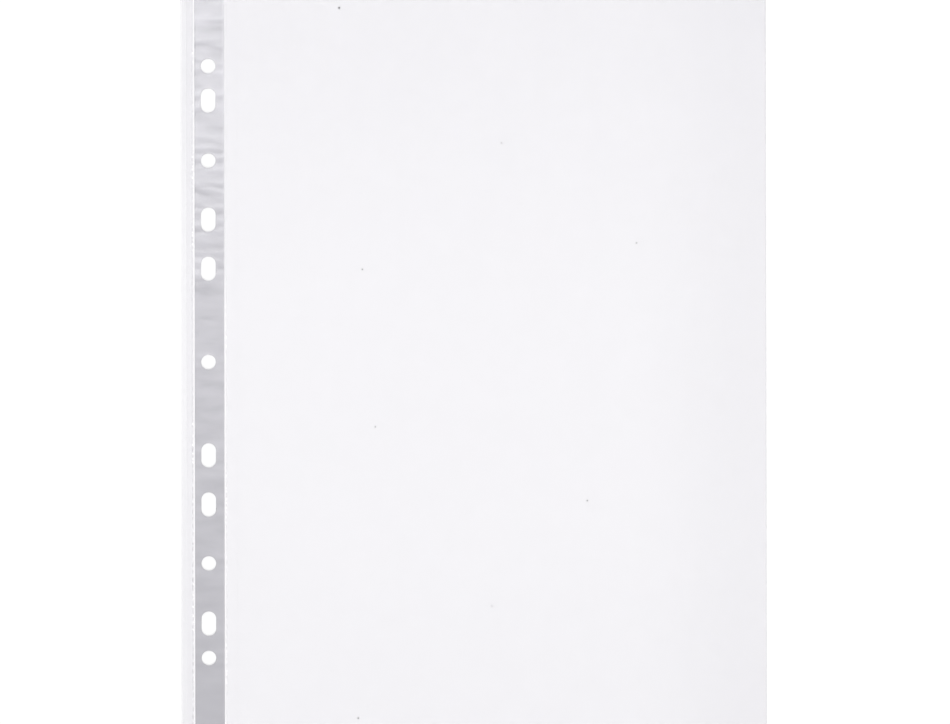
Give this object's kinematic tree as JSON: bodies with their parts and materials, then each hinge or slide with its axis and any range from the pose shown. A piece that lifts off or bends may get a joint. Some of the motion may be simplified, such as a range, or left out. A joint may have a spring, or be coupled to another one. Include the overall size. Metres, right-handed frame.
{
  "type": "sheet protector",
  "caption": "Clear top-opening film pocket for document pages, with a reinforced strip along one edge punched with round holes and slots for ring binders.",
  "frame": {"origin": "centre of the flat outline, on the back face that it lies on", "axes": "+X from the punched strip to the folded edge, +Y from the bottom weld to the open mouth, +Z out of the front film"},
  "size_m": [0.2374, 0.305, 0.0004],
  "materials": {
    "film": "clear glossy polypropylene film",
    "tape": "cloudy grey translucent polypropylene tape",
    "weld": "film fused by a hot tool, slightly frosted"
  },
  "bodies": {
    "binding_strip": {"reinforcing_tape": "tape", "strip_back_film": "film", "strip_front_film": "film", "outer_seam": "weld", "inner_seam": "weld"},
    "pocket": {"back_panel": "film", "bottom_weld": "weld", "side_fold": "film", "front_panel_strip_side": "film", "front_panel_fold_side": "film"},
    "mouth_flap": {"front_panel_middle": "film"}
  },
  "joints": [
    {"name": "page_turn", "type": "hinge", "parent": "binding_strip", "child": "pocket", "pos_m": [-0.0988, 0, 0.0005], "axis": [0, -1, 0], "range_deg": [0, 180]},
    {"name": "mouth_open", "type": "hinge", "parent": "pocket", "child": "mouth_flap", "pos_m": [0.00986, -0.15, 0.00045], "axis": [1, 0, 0], "range_deg": [0, 4], "stiffness_Nm_per_rad": 0.05}
  ]
}
